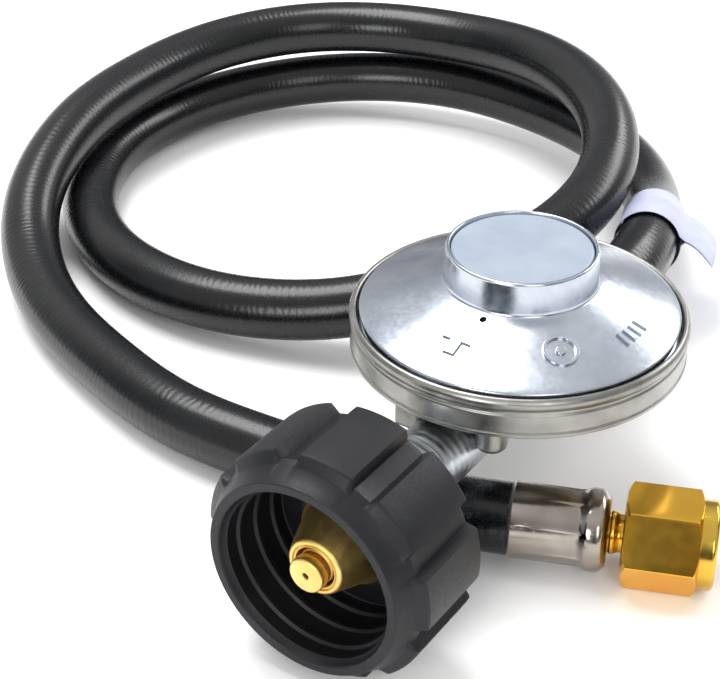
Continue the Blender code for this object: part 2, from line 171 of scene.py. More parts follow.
def makeFloor():
    mesh = bpy.data.meshes.new("floor")
    edit = bmesh.new()
    bmesh.ops.create_grid(edit, x_segments=1, y_segments=1, size=4.0)
    edit.to_mesh(mesh)
    edit.free()
    floor = bpy.data.objects.new("floor", mesh)
    scene.collection.objects.link(floor)
    floor.location = (0, 0, -0.0002)
    material = bpy.data.materials.new("matt white paper")
    material.use_nodes = True
    shader = material.node_tree.nodes["Principled BSDF"]
    shader.inputs["Base Color"].default_value = linearColour("#ffffff")
    shader.inputs["Roughness"].default_value = 0.9
    shader.inputs["Specular IOR Level"].default_value = 0.1
    mesh.materials.append(material)


def newMaterial(name):
    material = bpy.data.materials.new(name)
    material.use_nodes = True
    tree = material.node_tree
    return material, tree, tree.nodes["Principled BSDF"]


def objectPoint(tree, centre=(0, 0, 0), turn=(0, 0, 0), scale=(1, 1, 1)):
    # Object coordinates, about a centre in mm
    point = node(tree, "ShaderNodeTexCoord").outputs["Object"]
    back = node(
        tree,
        "ShaderNodeMapping",
        {"Vector": point, "Location": [-value * mm for value in centre]},
        vector_type="POINT",
    )
    return node(
        tree, "ShaderNodeMapping", {"Vector": back.outputs[0], "Rotation": turn, "Scale": scale}
    ).outputs[0]


def noise(tree, point, size, detail=2.0):
    # size is the grain in mm
    return node(
        tree, "ShaderNodeTexNoise", {"Vector": point, "Scale": 1 / (size * mm), "Detail": detail}
    ).outputs["Fac"]


def between(tree, source, low, high, start=0.3, end=0.7):
    return node(
        tree,
        "ShaderNodeMapRange",
        {"Value": source, "From Min": start, "From Max": end, "To Min": low, "To Max": high},
    ).outputs[0]


def mixColours(tree, source, first, second):
    made = node(
        tree,
        "ShaderNodeMix",
        {"Factor": source, 6: linearColour(first), 7: linearColour(second)},
        data_type="RGBA",
    )
    return made.outputs[2]


def bump(tree, height, depth, before=None):
    # depth in mm
    values = {"Height": height, "Distance": depth * mm, "Strength": 1.0}
    if before is not None:
        values["Normal"] = before
    return node(tree, "ShaderNodeBump", values).outputs[0]


def metalMaterial(name, colours, roughness, grain, depth, stretch=(1, 1, 1), turn=(0, 0, 0)):
    # two shades mixed by a soft noise, with a fine grain that bumps and dulls it
    material, tree, shader = newMaterial(name)
    shader.inputs["Metallic"].default_value = 1.0
    broad = noise(tree, objectPoint(tree), 9.0)
    fine = noise(tree, objectPoint(tree, turn=turn, scale=stretch), grain)
    tree.links.new(mixColours(tree, between(tree, broad, 0, 1), *colours), shader.inputs["Base Color"])
    tree.links.new(between(tree, fine, *roughness), shader.inputs["Roughness"])
    tree.links.new(bump(tree, fine, depth), shader.inputs["Normal"])
    return material


def turnedMetal(name, colours, roughness, grain, depth, rings, ringDepth):
    # turned on a lathe about the port axis, which is Z after the turn: fine rings across it
    material, tree, shader = newMaterial(name)
    shader.inputs["Metallic"].default_value = 1.0
    point = objectPoint(tree, (0, 0, portZ), (math.radians(90), 0, 0))
    broad = noise(tree, point, 6.0)
    fine = noise(tree, objectPoint(tree), grain)
    height = node(tree, "ShaderNodeSeparateXYZ", {0: point}).outputs["Z"]
    phase = node(tree, "ShaderNodeMath", {0: height, 1: 2 * math.pi / (rings * mm)}, operation="MULTIPLY")
    wave = node(tree, "ShaderNodeMath", {0: phase.outputs[0]}, operation="SINE").outputs[0]
    tree.links.new(mixColours(tree, between(tree, broad, 0, 1), *colours), shader.inputs["Base Color"])
    tree.links.new(between(tree, fine, *roughness), shader.inputs["Roughness"])
    grained = bump(tree, fine, depth)
    tree.links.new(bump(tree, wave, ringDepth, grained), shader.inputs["Normal"])
    return material


def plasticMaterial(name, colours, roughness, grain, depth, ior=1.5):
    material, tree, shader = newMaterial(name)
    shader.inputs["IOR"].default_value = ior
    broad = noise(tree, objectPoint(tree), 7.0)
    fine = noise(tree, objectPoint(tree), grain)
    tree.links.new(mixColours(tree, between(tree, broad, 0, 1), *colours), shader.inputs["Base Color"])
    tree.links.new(between(tree, fine, *roughness), shader.inputs["Roughness"])
    tree.links.new(bump(tree, fine, depth), shader.inputs["Normal"])
    return material


hoseLook = {
    "dark": "#040507",
    "light": "#0b0d10",
    "ripple": 1.7,  # mm between the faint rings in the cover
    "rippleDepth": 0.014,
    "wander": 3.0,  # how far the rings stray from even spacing
    "grain": 0.35,
    "roughness": (0.20, 0.32),
}


def hoseMaterial():
    # extruded cover, satin black, with faint rings that come and go along it
    material, tree, shader = newMaterial("extruded nitrile rubber")
    shader.inputs["IOR"].default_value = 1.46
    along = node(tree, "ShaderNodeAttribute", attribute_name="along").outputs["Fac"]
    place = objectPoint(tree)
    patchy = noise(tree, place, 14.0)
    wander = noise(tree, place, 5.0)
    fine = noise(tree, place, hoseLook["grain"])
    shifted = node(
        tree, "ShaderNodeMath", {0: wander, 1: hoseLook["wander"], 2: along}, operation="MULTIPLY_ADD"
    ).outputs[0]
    phase = node(
        tree, "ShaderNodeMath", {0: shifted, 1: 2 * math.pi / hoseLook["ripple"]}, operation="MULTIPLY"
    ).outputs[0]
    wave = node(tree, "ShaderNodeMath", {0: phase}, operation="SINE").outputs[0]
    strength = between(tree, patchy, 0.15, 1.0, 0.42, 0.62)
    rippled = node(tree, "ShaderNodeMath", {0: wave, 1: strength}, operation="MULTIPLY").outputs[0]
    colour = mixColours(tree, between(tree, wander, 0, 1), hoseLook["dark"], hoseLook["light"])
    tree.links.new(colour, shader.inputs["Base Color"])
    tree.links.new(between(tree, fine, *hoseLook["roughness"]), shader.inputs["Roughness"])
    grained = bump(tree, fine, 0.012)
    tree.links.new(bump(tree, rippled, hoseLook["rippleDepth"], grained), shader.inputs["Normal"])
    return material


def makeMaterials():
    farAngle = math.atan2(farWay.y, farWay.x)
    # colours from dark to light, roughness from low to high, grain and depth in mm
    drawn = {
        "colours": ("#8f857b", "#a9a29a"),
        "roughness": (0.12, 0.22),
        "grain": 0.4,
        "depth": 0.004,
    }
    return {
        # zinc die casting, tumbled: warm grey with a fine cast grain
        "castZinc": metalMaterial(
            "cast zinc", ("#84837e", "#a2a19c"), roughness=(0.28, 0.40), grain=1.1, depth=0.003
        ),
        # pressed steel with bright zinc plate: silver-blue satin
        "platedLid": metalMaterial(
            "zinc plated pressed steel",
            ("#aeb5c0", "#c3c9d2"),
            roughness=(0.19, 0.27),
            grain=0.9,
            depth=0.004,
        ),
        # the same plate on springs, pins and plates
        "platedSteel": metalMaterial(
            "bright zinc plated steel",
            ("#b9bcc0", "#d0d2d4"),
            roughness=(0.25, 0.38),
            grain=0.3,
            depth=0.008,
        ),
        # inlet boss, turned after casting: paler than the cast skin, with tool rings
        "turnedZinc": turnedMetal(
            "turned zinc",
            ("#b4bbc4", "#d3d8dd"),
            roughness=(0.30, 0.40),
            grain=1.6,
            depth=0.002,
            rings=1.9,
            ringDepth=0.03,
        ),
        # crimped stainless tube with lengthwise draw lines
        "drawnStainless": metalMaterial(
            "drawn stainless steel", **drawn, stretch=(0.10, 1, 1), turn=(0, 0, -farAngle)
        ),
        # the same tube at the outlet, its draw lines along Y
        "drawnStainlessNear": metalMaterial("drawn stainless steel, outlet", **drawn, stretch=(1, 0.10, 1)),
        # machined free-cutting brass: pale yellow with fine tool rings
        "turnedBrass": turnedMetal(
            "turned brass",
            ("#e4c070", "#efd088"),
            roughness=(0.36, 0.46),
            grain=1.6,
            depth=0.0008,
            rings=0.7,
            ringDepth=0.003,
        ),
        # a deeper, shinier brass on the far fitting
        "turnedBrassFar": metalMaterial(
            "turned brass, far end", ("#c8a040", "#d6b450"), roughness=(0.14, 0.20), grain=1.6, depth=0.001
        ),
        # milled brass flats: warm and almost mirror bright
        "milledBrass": metalMaterial(
            "milled brass", ("#ecb23c", "#f0bc48"), roughness=(0.13, 0.16), grain=3.0, depth=0.0005
        ),
        # glass-filled nylon: black with a blue cast and a moulded grain
        "nylon": plasticMaterial(
            "moulded nylon", ("#0c0d11", "#131419"), roughness=(0.40, 0.52), grain=0.5, depth=0.02, ior=1.38
        ),
        # closing cap: flat grey-blue with a soft sheen
        "capPlastic": plasticMaterial(
            "moulded acetal", ("#8f9aa8", "#9aa5b2"), roughness=(0.30, 0.40), grain=0.9, depth=0.004, ior=1.4
        ),
        # unpainted acetal inside the housing: milky white
        "acetal": plasticMaterial(
            "natural acetal", ("#d9d5c8", "#e6e2d6"), roughness=(0.35, 0.48), grain=0.4, depth=0.01
        ),
        # bushing behind the hand nut: plain black
        "blackNylon": plasticMaterial(
            "black moulded nylon", ("#0b0c0e", "#101113"), roughness=(0.4, 0.52), grain=0.4, depth=0.01
        ),
        # diaphragm and seat: dull grey-black
        "nitrile": plasticMaterial(
            "moulded nitrile rubber", ("#16171a", "#222327"), roughness=(0.5, 0.65), grain=0.3, depth=0.015
        ),
        # label paper under a plastic film: pale violet with a soft sheen
        "labelPaper": plasticMaterial(
            "filmed label paper", ("#a9adc6", "#b9bdd2"), roughness=(0.35, 0.5), grain=2.0, depth=0.01
        ),
        "hoseRubber": hoseMaterial(),
    }


def rounded(corners):
    # corners of (radius, height, set-back in mm); each set-back corner becomes a short curve
    points = []
    count = len(corners)
    for index, (r, h, back) in enumerate(corners):
        corner = Vector((r, h))
        if back <= 0:
            points.append((r, h))
            continue
        before = Vector(corners[index - 1][:2]) - corner
        after = Vector(corners[(index + 1) % count][:2]) - corner
        first = corner + before.normalized() * min(back, before.length * 0.48)
        last = corner + after.normalized() * min(back, after.length * 0.48)
        for step in range(6):
            t = step / 5
            point = first * (1 - t) ** 2 + corner * (2 * t * (1 - t)) + last * t**2
            points.append((point.x, point.y))
    return points


def spunEdit(corners, place, steps=128):
    # spun round Z, then put in place; an outline that starts on the axis also ends on it
    edit = bmesh.new()
    outline = rounded(corners)
    verts = [edit.verts.new((r * mm, 0, h * mm)) for r, h in outline]
    edges = [edit.edges.new(pair) for pair in zip(verts, verts[1:])]
    if outline[0][0] > 0:
        edges.append(edit.edges.new((verts[-1], verts[0])))
    bmesh.ops.spin(
        edit,
        geom=verts + edges,
        cent=(0, 0, 0),
        axis=(0, 0, 1),
        angle=2 * math.pi,
        steps=steps,
        use_merge=True,
    )
    bmesh.ops.remove_doubles(edit, verts=edit.verts, dist=1e-6)
    bmesh.ops.recalc_face_normals(edit, faces=edit.faces)
    bmesh.ops.transform(edit, matrix=place, verts=edit.verts)
    return edit


def finishPiece(edit, name, material, body, slot, *nodes, angle=32):
    mesh = bpy.data.meshes.new(name)
    edit.to_mesh(mesh)
    edit.free()
    mesh.shade_smooth()
    mesh.set_sharp_from_angle(angle=math.radians(angle))
    mesh.materials.append(materials[material])
    piece = bpy.data.objects.new(name, mesh)
    scene.collection.objects.link(piece)
    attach(piece, body)
    if nodes:
        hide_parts(*nodes)
    return piece


def spun(name, corners, place, material, body, slot, *nodes, steps=128):
    return finishPiece(spunEdit(corners, place, steps), name, material, body, slot, *nodes)


def boolean(piece, cutter, operation="DIFFERENCE", angle=32):
    # done here and now, so that the piece keeps no modifier
    change = piece.modifiers.new("cut", "BOOLEAN")
    change.operation = operation
    change.solver = "EXACT"
    change.object = cutter
    graph = bpy.context.evaluated_depsgraph_get()
    mesh = bpy.data.meshes.new_from_object(piece.evaluated_get(graph))
    piece.modifiers.remove(change)
    piece.data = mesh
    mesh.set_sharp_from_angle(angle=math.radians(angle))
    bpy.data.objects.remove(cutter)


def cutterFrom(edit):
    mesh = bpy.data.meshes.new("cutter")
    edit.to_mesh(mesh)
    edit.free()
    cutter = bpy.data.objects.new("cutter", mesh)
    scene.collection.objects.link(cutter)
    return cutter


def roundBar(radius, start, end, sides=48):
    edit = bmesh.new()
    begin = Vector(start) * mm
    finish = Vector(end) * mm
    facing = (finish - begin).to_track_quat("Z", "Y").to_matrix().to_4x4()
    bmesh.ops.create_cone(
        edit,
        cap_ends=True,
        segments=sides,
        radius1=radius * mm,
        radius2=radius * mm,
        depth=(finish - begin).length,
        matrix=Matrix.Translation((begin + finish) / 2) @ facing,
    )
    return edit


hoseSet = {
    "radius": 7.15,
    "sides": 36,
    "spacing": 2.0,  # mm between rings
    "fineSteps": 40,  # points of the spline in each stretch, before the even spacing
    "start": (0.0, 1.0, 0.0),
    "route": [
        (0.0, 62.7, 23.3),
        (-4.0, 86.0, 21.5),
        (-15.5, 114.0, 14.0),
        (-29.0, 134.5, 11.5),
        (-48.5, 149.5, 11.0),
        (-71.5, 157.0, 11.0),
        (-97.5, 157.5, 11.5),
        (-124.5, 149.5, 10.5),
        (-145.5, 133.5, 9.0),
        (-159.0, 108.0, 8.0),
        (-159.5, 77.0, 7.5),
        (-146.0, 49.0, 7.5),
        (-129.0, 33.5, 7.5),
        (-109.5, 25.0, 8.0),
        (-86.5, 23.5, 8.5),
        (-62.0, 30.5, 10.5),
        (-41.5, 43.0, 15.5),
        (-26.0, 65.0, 21.0),
        (-22.0, 92.5, 25.5),
        (-30.5, 117.5, 29.0),
        (-46.5, 135.5, 31.0),
        (-69.5, 149.5, 30.0),
        (-95.5, 155.0, 27.5),
        (-120.0, 151.0, 26.5),
        (-142.0, 136.5, 26.0),
        (-156.0, 112.5, 25.0),
        (-159.5, 85.0, 24.0),
        (-157.5, 59.0, 22.0),
        (-148.5, 32.0, 16.0),
        (-134.0, 14.0, 10.0),
        (-112.5, -0.5, 7.5),
        (-87.0, -11.0, 7.5),
        (-62.0, -17.0, 7.5),
        (-34.0, -16.5, 7.5),
        (-5.5, -15.0, 8.0),
        (13.3, -10.5, 9.0),
    ],
}


def smoothRoute():
    # cubic spline through the route, with both end directions held
    knots = np.array(hoseSet["route"])
    step = np.sqrt(np.linalg.norm(np.diff(knots, axis=0), axis=1))
    size = len(knots)
    matrix = np.zeros((size, size))
    right = np.zeros((size, 3))
    matrix[0, 0] = matrix[-1, -1] = 1.0
    right[0] = np.array(hoseSet["start"]) * step[0]
    right[-1] = np.array(farWay) * step[-1]
    for i in range(1, size - 1):
        before, after = step[i - 1], step[i]
        matrix[i, i - 1] = 1 / before
        matrix[i, i] = 2 * (1 / before + 1 / after)
        matrix[i, i + 1] = 1 / after
        right[i] = 3 * ((knots[i] - knots[i - 1]) / before**2 + (knots[i + 1] - knots[i]) / after**2)
    slope = np.linalg.solve(matrix, right)
    fine = []
    for i in range(size - 1):
        u = np.linspace(0, 1, hoseSet["fineSteps"], endpoint=i == size - 2)[:, None]
        h = step[i]
        first = (2 * u**3 - 3 * u**2 + 1) * knots[i] + (u**3 - 2 * u**2 + u) * h * slope[i]
        second = (3 * u**2 - 2 * u**3) * knots[i + 1] + (u**3 - u**2) * h * slope[i + 1]
        fine.append(first + second)
    fine = np.concatenate(fine)
    length = np.concatenate(([0], np.cumsum(np.linalg.norm(np.diff(fine, axis=0), axis=1))))
    count = int(length[-1] / hoseSet["spacing"]) + 1
    wanted = np.linspace(0, length[-1], count)
    points = np.stack([np.interp(wanted, length, fine[:, axis]) for axis in range(3)], axis=1)
    return [Vector(point) for point in points], wanted


def stationsOf(points):
    # a frame at each point that turns no more than the line does
    frames = []
    side = Vector((1, 0, 0))
    last = len(points) - 1
    for i, point in enumerate(points):
        along = (points[min(i + 1, last)] - points[max(i - 1, 0)]).normalized()
        if i == 0:
            along = Vector(hoseSet["start"])
        if i == last:
            along = farWay.copy()
        side = (side - along * side.dot(along)).normalized()
        other = along.cross(side)
        turn = Matrix((side, other, along)).transposed().to_4x4()
        frames.append(Matrix.Translation(point * mm) @ turn)
    return frames


def makeHose():
    points, lengths = smoothRoute()
    frames = stationsOf(points)
    edit = bmesh.new()
    along = edit.verts.layers.float.new("along")
    ring = bmesh.ops.create_circle(
        edit, segments=hoseSet["sides"], radius=hoseSet["radius"] * mm, cap_ends=True
    )["verts"]
    bmesh.ops.transform(edit, matrix=frames[0], verts=ring)
    edges = [edge for edge in edit.edges if len(edge.link_faces) == 1]
    for i in range(1, len(frames)):
        grown = bmesh.ops.extrude_edge_only(edit, edges=edges)["geom"]
        ring = [item for item in grown if isinstance(item, bmesh.types.BMVert)]
        edges = [item for item in grown if isinstance(item, bmesh.types.BMEdge)]
        bmesh.ops.transform(edit, matrix=frames[i] @ frames[i - 1].inverted(), verts=ring)
        for vert in ring:
            vert[along] = lengths[i]
    bmesh.ops.contextual_create(edit, geom=edges)
    bmesh.ops.recalc_face_normals(edit, faces=edit.faces)
    hose = finishPiece(edit, "gasHose", "hoseRubber", "regulator", "hose_rubber", "hose", angle=50)
    return hose, points, lengths


labelSet = {
    "from": 19.0,
    "to": 41.0,
    "radius": 7.75,
    "flag": (0.9, 0.39, 0.19),
    "reach": 16.0,
    "droop": 7.5,  # how far the flag's end hangs
    "hangFrom": 8.0,  # the flag stands straight out up to here
    "hangCurve": 1.6,
    "root": 1.2,  # from the sleeve to where the two ends meet
    "gap": 0.1,  # half the space between the two ends
    "across": 6,  # points from the flag's end to its root
    "paper": 0.12,
}


def flagDroop(reach):
    hang = labelSet["hangFrom"]
    return labelSet["droop"] * ((reach - hang) / hang) ** labelSet["hangCurve"] if reach > hang else 0


def makeLabel(points, lengths):
    # one strip round the hose, its two ends stuck together and standing out as a flag
    edit = bmesh.new()
    stations = np.arange(labelSet["from"], labelSet["to"] + 0.1, 2.0)
    flag = Vector(labelSet["flag"]).normalized()
    rows = []
    for station in stations:
        i = int(np.searchsorted(lengths, station))
        centre = points[i]
        along = (points[i + 1] - points[i - 1]).normalized()
        out = (flag - along * flag.dot(along)).normalized()
        side = along.cross(out)
        row = []
        root = labelSet["radius"] + labelSet["root"]
        for reach in np.linspace(labelSet["reach"], root, labelSet["across"]):
            row.append(centre + out * reach + side * labelSet["gap"] - Vector((0, 0, flagDroop(reach))))
        for degrees in range(8, 353, 8):
            angle = math.radians(degrees)
            row.append(centre + (out * math.cos(angle) + side * math.sin(angle)) * labelSet["radius"])
        for reach in np.linspace(root, labelSet["reach"] - 0.4, labelSet["across"]):
            row.append(centre + out * reach - side * labelSet["gap"] - Vector((0, 0, flagDroop(reach))))
        rows.append([edit.verts.new(point * mm) for point in row])
    for near, far in zip(rows, rows[1:]):
        for k in range(len(near) - 1):
            edit.faces.new((near[k], near[k + 1], far[k + 1], far[k]))
    bmesh.ops.recalc_face_normals(edit, faces=edit.faces)
    bmesh.ops.solidify(edit, geom=edit.faces[:], thickness=labelSet["paper"] * mm)
    bmesh.ops.recalc_face_normals(edit, faces=edit.faces)
    return finishPiece(edit, "hoseLabel", "labelPaper", "regulator", "paper", "hose_label", angle=40)


ferruleSet = {
    # radius, distance from the mouth and set-back of each corner
    "outer": [
        (7.2, 0.0, 0.15),
        (7.55, 0.0, 0.15),
        (7.5, 13.3, 1.0),
        (8.15, 14.6, 0.8),
        (8.15, 17.2, 0.9),
        (6.6, 18.5, 0.5),
    ],
    "inner": [(4.7, 18.5, 0.1), (4.7, 17.4, 0.1), (6.9, 17.2, 0.1), (7.2, 2.0, 0.1)],
    "crimps": 8,
    "crimpDepth": 0.12,
    "crimpFrom": (0.3, 0.6),  # where the flats start, and over how long they sink in
    "crimpTo": (14.2, 1.2),
    "skin": 7.3,  # only points outside this radius are pressed
    "flatness": 0.45,  # 1 would press each side quite flat
    "hole": 0.55,
    "holeAt": 14.2,
}


def makeFerrule(name, place, way, mouth, material, node, phase=0.0, holeTurn=0.0):
    corners = [(r, mouth + way * h, back) for r, h, back in ferruleSet["outer"] + ferruleSet["inner"]]
    edit = spunEdit(corners, Matrix.Identity(4), 192)
    count = ferruleSet["crimps"]
    start, sink = ferruleSet["crimpFrom"]
    end, rise = ferruleSet["crimpTo"]
    for vert in edit.verts:
        radius = math.hypot(vert.co.x, vert.co.y) / mm
        t = (vert.co.z / mm - mouth) * way
        if radius < ferruleSet["skin"]:
            continue
        # the crimping jaws press eight flats and leave a thin raised line between each two
        reach = min(1.0, max(0.0, (t - start) / sink)) * min(1.0, max(0.0, (end - t) / rise))
        angle = math.atan2(vert.co.y, vert.co.x) + phase
        turn = (angle * count / (2 * math.pi)) % 1.0
        away = abs(turn - 0.5) * 2
        half = math.pi / count
        flat = radius * (1 - math.cos(half) / math.cos(half * away))
        press = -flat * ferruleSet["flatness"] - ferruleSet["crimpDepth"] * (1 - away**24)
        scale = 1 + reach * press / radius
        vert.co.x *= scale
        vert.co.y *= scale
    bmesh.ops.transform(edit, matrix=place, verts=edit.verts)
    ferrule = finishPiece(edit, name, material, "regulator", "stainless", node)
    middle = Vector((0, 0, mouth + way * ferruleSet["holeAt"]))
    out = Vector((math.cos(holeTurn), math.sin(holeTurn), 0))
    hole = roundBar(ferruleSet["hole"], middle + out * 5.5, middle + out * 9.5, 24)
    bmesh.ops.transform(hole, matrix=place, verts=hole.verts)
    boolean(ferrule, cutterFrom(hole))
    return ferrule


flareNutSet = {
    "flats": 18.0,
    "from": 21.3,
    "to": 35.9,
    "bore": 7.4,
    "backHole": 4.25,
    "corner": 0.16,
    "threadTurns": 4,
    "threadPitch": 1.4,  # coarser than the real one so that it shows
    "threadTop": 37.9,
}


def makeFlareNut():
    edit = bmesh.new()
    start, end = flareNutSet["from"], flareNutSet["to"]
    acrossCorners = flareNutSet["flats"] / math.cos(math.radians(30))
    bmesh.ops.create_cone(
        edit,
        cap_ends=True,
        segments=6,
        radius1=acrossCorners / 2 * mm,
        radius2=acrossCorners / 2 * mm,
        depth=(end - start) * mm,
        matrix=Matrix.Translation((0, 0, (end + start) / 2 * mm)),
    )
    sides = [edge for edge in edit.edges if abs(edge.verts[0].co.z - edge.verts[1].co.z) > 0.001]
    bmesh.ops.bevel(
        edit,
        geom=sides,
        offset=flareNutSet["corner"] * mm,
        segments=4,
        affect="EDGES",
        profile=0.5,
        material=-1,
    )
    bmesh.ops.transform(edit, matrix=alongFar, verts=edit.verts)
    nut = finishPiece(edit, "flareNutHex", "milledBrass", "outlet_nut", "brass", "flare_nut", angle=12)
    chamfer = [
        (0, start, 0),
        (8.6, start, 0.5),
        (10.6, start + 1.2, 0.4),
        (10.6, end - 1.0, 0.4),
        (8.9, end, 0.4),
        (0, end, 0),
    ]
    boolean(nut, cutterFrom(spunEdit(chamfer, alongFar, 96)), "INTERSECT", 12)
    bore, backHole = flareNutSet["bore"], flareNutSet["backHole"]
    hollow = [
        (0, 20.0, 0),
        (backHole, 20.0, 0),
        (backHole, 24.0, 0),
        (bore, 24.0, 0),
        (bore, 37.0, 0),
        (0, 37.0, 0),
    ]
    boolean(nut, cutterFrom(spunEdit(hollow, alongFar, 96)), "DIFFERENCE", 12)
    collar = [
        (bore, 35.2, 0),
        (8.7, 35.2, 0),
        (8.75, 38.4, 0.4),
        (8.2, 39.0, 0.3),
        (7.5, 39.0, 0.3),
        (bore, 38.4, 0.1),
    ]
    spun("flareNutCollar", collar, alongFar, "turnedBrassFar", "outlet_nut", "brass")
    rings = []
    turns, pitch, top = (flareNutSet[key] for key in ("threadTurns", "threadPitch", "threadTop"))
    for turn in range(turns):
        z = top - turn * pitch
        rings += [(7.45, z, 0), (7.05, z - 0.45, 0.1), (7.05, z - 0.7, 0.1), (7.45, z - 1.15, 0)]
    rings += [(7.6, top - (turns - 1) * pitch - 1.15, 0), (7.6, top, 0)]
    spun("flareNutThread", rings, alongFar, "turnedBrassFar", "outlet_nut", "brass", steps=96)


def makeFarStem():
    stem = [
        (3.0, 32.0, 0.1),
        (3.6, 32.0, 0.2),
        (7.0, 28.5, 0.3),
        (7.0, 24.5, 0.3),
        (3.9, 24.4, 0.4),
        (3.75, 20.4, 0.5),
        (4.25, 19.6, 0.3),
        (4.3, 19.0, 0.2),
        (3.9, 18.7, 0.2),
        (4.3, 18.3, 0.1),
        (4.3, 1.0, 0.2),
        (4.0, 0.5, 0.1),
        (2.6, 0.5, 0),
        (2.6, 31.2, 0.2),
    ]
    return spun("farStem", stem, alongFar, "turnedBrassFar", "regulator", "brass", "far_stem")


handNutSet = {
    "lobes": 9,
    "phase": 24.0,  # middle of one channel, degrees from +X towards +Z
    "halfChannel": 5.0,
    "halfOpening": 6.9,
    "steps": 270,
    "thread": 5.08,  # mm, five to the inch
    "threadTurns": 3,
    "threadStart": -59.4,  # the mouth end of the thread
}


def lobeShare(angle):
    # 0 on a channel's floor, 1 on a lobe
    pitch = 360 / handNutSet["lobes"]
    away = abs((math.degrees(angle) - handNutSet["phase"] + pitch / 2) % pitch - pitch / 2)
    t = (away - handNutSet["halfChannel"]) / (handNutSet["halfOpening"] - handNutSet["halfChannel"])
    t = min(1.0, max(0.0, t))
    return t * t * (3 - 2 * t)


def makeHandNut():
    # rings of (y, radius on a lobe, radius on a channel), from the back hole over the outside and in
    rings = [
        (-44.0, 8.5, 8.5),
        (-39.7, 8.5, 8.5),
        (-39.5, 8.7, 8.7),
        (-39.5, 19.8, 19.8),
        (-39.5, 22.3, 20.6),
        (-39.7, 22.9, 20.9),
        (-40.1, 23.2, 21.0),
        (-41.0, 23.3, 21.05),
        (-46.0, 23.3, 21.1),
        (-51.0, 23.3, 21.1),
        (-54.6, 23.3, 21.1),
        (-55.6, 23.3, 21.3),
        (-56.9, 23.25, 21.55),
        (-57.2, 23.1, 21.45),
        (-57.5, 22.8, 21.35),
        (-58.3, 21.4, 21.0),
        (-58.6, 21.1, 20.85),
        (-60.6, 20.1, 20.1),
        (-61.7, 19.65, 19.65),
        (-61.9, 19.55, 19.55),
        (-62.0, 19.35, 19.35),
        (-62.0, 18.0, 18.0),
        (-61.8, 17.7, 17.7),
        (-61.4, 17.5, 17.5),
        (-60.6, 17.1, 17.1),
        (-60.4, 16.9, 16.9),
        (-59.4, 16.9, 16.9),
    ]
    y = handNutSet["threadStart"]
    for _ in range(handNutSet["threadTurns"]):
        rings += [(y + 1.6, 16.9, 16.9), (y + 2.1, 16.4, 16.4), (y + 2.8, 16.4, 16.4), (y + 3.3, 16.9, 16.9)]
        y += handNutSet["thread"]
    rings += [(-44.2, 16.8, 16.8), (-44.0, 16.6, 16.6), (-44.0, 9.0, 9.0)]
    edit = bmesh.new()
    steps = handNutSet["steps"]
    ring = bmesh.ops.create_circle(edit, segments=steps, radius=1.0)["verts"]
    loops = [ring]
    edges = edit.edges[:]
    for _ in rings[1:]:
        grown = bmesh.ops.extrude_edge_only(edit, edges=edges)["geom"]
        loops.append([item for item in grown if isinstance(item, bmesh.types.BMVert)])
        edges = [item for item in grown if isinstance(item, bmesh.types.BMEdge)]
    for loop, (y, lobe, channel) in zip(loops, rings):
        for vert in loop:
            angle = math.atan2(vert.co.y, vert.co.x)
            share = lobeShare(angle)
            radius = channel + (lobe - channel) * share
            vert.co = Vector((radius * math.cos(angle), y, portZ + radius * math.sin(angle))) * mm
    first = [edge for edge in edit.edges if len(edge.link_faces) == 1]
    bmesh.ops.bridge_loops(edit, edges=first)
    bmesh.ops.recalc_face_normals(edit, faces=edit.faces)
    return finishPiece(edit, "handNut", "nylon", "inlet_nut", "nut_plastic", "hand_nut", angle=24)


def makeInlet():
    nipple = [
        (6.5, -28.0, 0),
        (6.5, -46.6, 0.2),
        (9.4, -46.6, 0.3),
        (9.4, -48.4, 0.5),
        (8.4, -49.3, 0.5),
        (7.9, -51.0, 1.0),
        (6.3, -55.6, 1.5),
        (5.6, -57.5, 0.4),
        (5.2, -57.8, 0.2),
        (4.7, -57.8, 0.1),
        (4.55, -57.3, 0.1),
        (4.4, -57.3, 0.1),
        (4.3, -57.6, 0.1),
        (4.1, -57.6, 0.1),
        (4.1, -47.5, 0),
        (2.2, -47.5, 0),
        (2.2, -28.0, 0),
    ]
    spun("inletNipple", nipple, alongPort, "turnedBrass", "regulator", "brass", "inlet_nipple")
    limiter = [
        (3.5, -53.5, 0.2),
        (3.5, -56.9, 0.1),
        (3.2, -57.2, 0.1),
        (3.2, -58.2, 0.1),
        (3.5, -58.5, 0.1),
        (3.5, -60.2, 0.25),
        (3.2, -60.5, 0.2),
        (0.75, -60.5, 0.12),
        (0.6, -60.2, 0.1),
        (0.6, -53.5, 0),
    ]
    spun("flowLimiter", limiter, alongPort, "turnedBrass", "limiter", "brass", "flow_limiter", steps=96)
    bushing = [
        (8.2, -39.8, 0.2),
        (8.2, -44.6, 0.1),
        (11.0, -44.6, 0.3),
        (11.0, -46.3, 0.3),
        (6.9, -46.3, 0.2),
        (6.9, -39.8, 0.2),
    ]
    spun(
        "thermalBushing",
        bushing,
        alongPort,
        "blackNylon",
        "inlet_nut",
        "bushing_plastic",
        "thermal_bushing",
        steps=96,
    )


